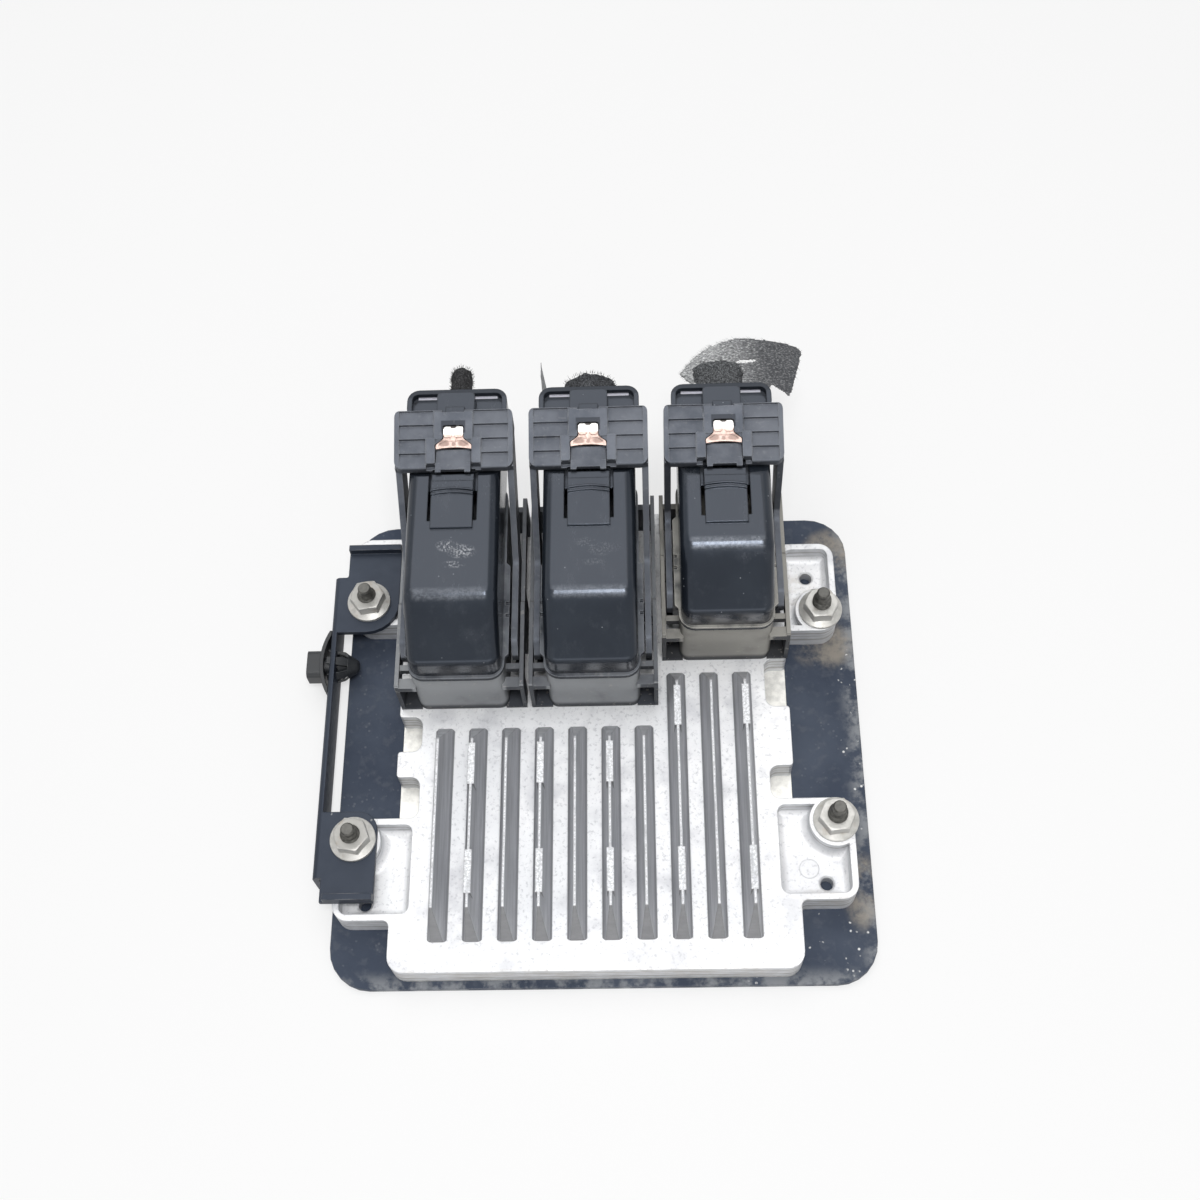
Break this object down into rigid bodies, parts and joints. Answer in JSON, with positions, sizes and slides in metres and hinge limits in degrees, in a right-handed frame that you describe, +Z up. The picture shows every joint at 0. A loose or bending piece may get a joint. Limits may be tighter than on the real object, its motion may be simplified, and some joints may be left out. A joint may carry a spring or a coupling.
{
  "type": "engine control unit",
  "caption": "Finned die-cast engine control unit on a steel mounting plate, with lever-locked harness plugs and a side bracket.",
  "frame": {"origin": "centre of the mounting plate's underside", "axes": "+X to the right as seen from the fin end, +Y from the fins towards the plugs, +Z up from the plate"},
  "size_m": [0.1808, 0.2001, 0.069],
  "materials": {
    "black_steel": "satin black paint, dusty and worn at its edges",
    "dark_steel": "dull phosphated steel",
    "zinc_steel": "zinc plated",
    "black_plastic": "matt black",
    "cast_aluminium": "die-cast, dull and dusty",
    "sheet_aluminium": "bright mill finish",
    "sealant": "cured bead",
    "board": "green solder mask",
    "chip_plastic": "moulded package",
    "header_plastic": "dark grey, dusty",
    "contact_brass": "plated contact",
    "seal_rubber": "silicone",
    "cover_plastic": "satin blue-black, scuffed",
    "lever_plastic": "dark grey",
    "copper_clip": "copper coloured spring clip",
    "harness_fabric": "frayed woven tape",
    "tape_fabric": "dusty woven tape"
  },
  "bodies": {
    "base": {"mounting_plate": "black_steel", "mounting_studs": "dark_steel", "flange_nuts": "zinc_steel", "side_bracket": "black_steel", "harness_clip": "black_plastic", "case_casting": "cast_aluminium", "bottom_cover": "sheet_aluminium", "cover_seal": "sealant", "circuit_board": "board", "board_screws": "zinc_steel", "processor": "chip_plastic", "power_stages": "chip_plastic", "capacitors": "chip_plastic", "header_left": "header_plastic", "header_pins_left": "contact_brass", "header_seal_left": "seal_rubber", "header_middle": "header_plastic", "header_pins_middle": "contact_brass", "header_seal_middle": "seal_rubber", "header_right": "header_plastic", "header_pins_right": "contact_brass", "header_seal_right": "seal_rubber"},
    "plug_left": {"plug_body_left": "black_plastic", "plug_seal_left": "seal_rubber", "wire_cover_left": "cover_plastic", "harness_stub_left": "harness_fabric"},
    "lever_left": {"lever_left": "lever_plastic", "lock_clip_left": "copper_clip"},
    "plug_middle": {"plug_body_middle": "black_plastic", "plug_seal_middle": "seal_rubber", "wire_cover_middle": "cover_plastic", "harness_stub_middle": "harness_fabric"},
    "lever_middle": {"lever_middle": "lever_plastic", "lock_clip_middle": "copper_clip"},
    "plug_right": {"plug_body_right": "black_plastic", "plug_seal_right": "seal_rubber", "wire_cover_right": "cover_plastic", "harness_stub_right": "harness_fabric", "tape_flap": "tape_fabric"},
    "lever_right": {"lever_right": "lever_plastic", "lock_clip_right": "copper_clip"}
  },
  "joints": [
    {"name": "plug_slide_left", "type": "slide", "parent": "base", "child": "plug_left", "axis": [0, 0, 1], "range_m": [0, 0.0095]},
    {"name": "lever_hinge_left", "type": "hinge", "parent": "plug_left", "child": "lever_left", "pos_m": [-0.0437, 0.0343, 0.026], "axis": [1, 0, 0], "range_deg": [0, 80]},
    {"name": "plug_slide_middle", "type": "slide", "parent": "base", "child": "plug_middle", "axis": [0, 0, 1], "range_m": [0, 0.0095]},
    {"name": "lever_hinge_middle", "type": "hinge", "parent": "plug_middle", "child": "lever_middle", "pos_m": [-0.0015, 0.0343, 0.026], "axis": [1, 0, 0], "range_deg": [0, 80]},
    {"name": "plug_slide_right", "type": "slide", "parent": "base", "child": "plug_right", "axis": [0, 0, 1], "range_m": [0, 0.0095]},
    {"name": "lever_hinge_right", "type": "hinge", "parent": "plug_right", "child": "lever_right", "pos_m": [0.0407, 0.0499, 0.026], "axis": [1, 0, 0], "range_deg": [0, 80]}
  ],
  "couplings": [
    {"joint": "lever_hinge_left", "follows": "plug_slide_left", "rad_per_m": 146.97},
    {"joint": "lever_hinge_middle", "follows": "plug_slide_middle", "rad_per_m": 146.97},
    {"joint": "lever_hinge_right", "follows": "plug_slide_right", "rad_per_m": 146.97}
  ]
}
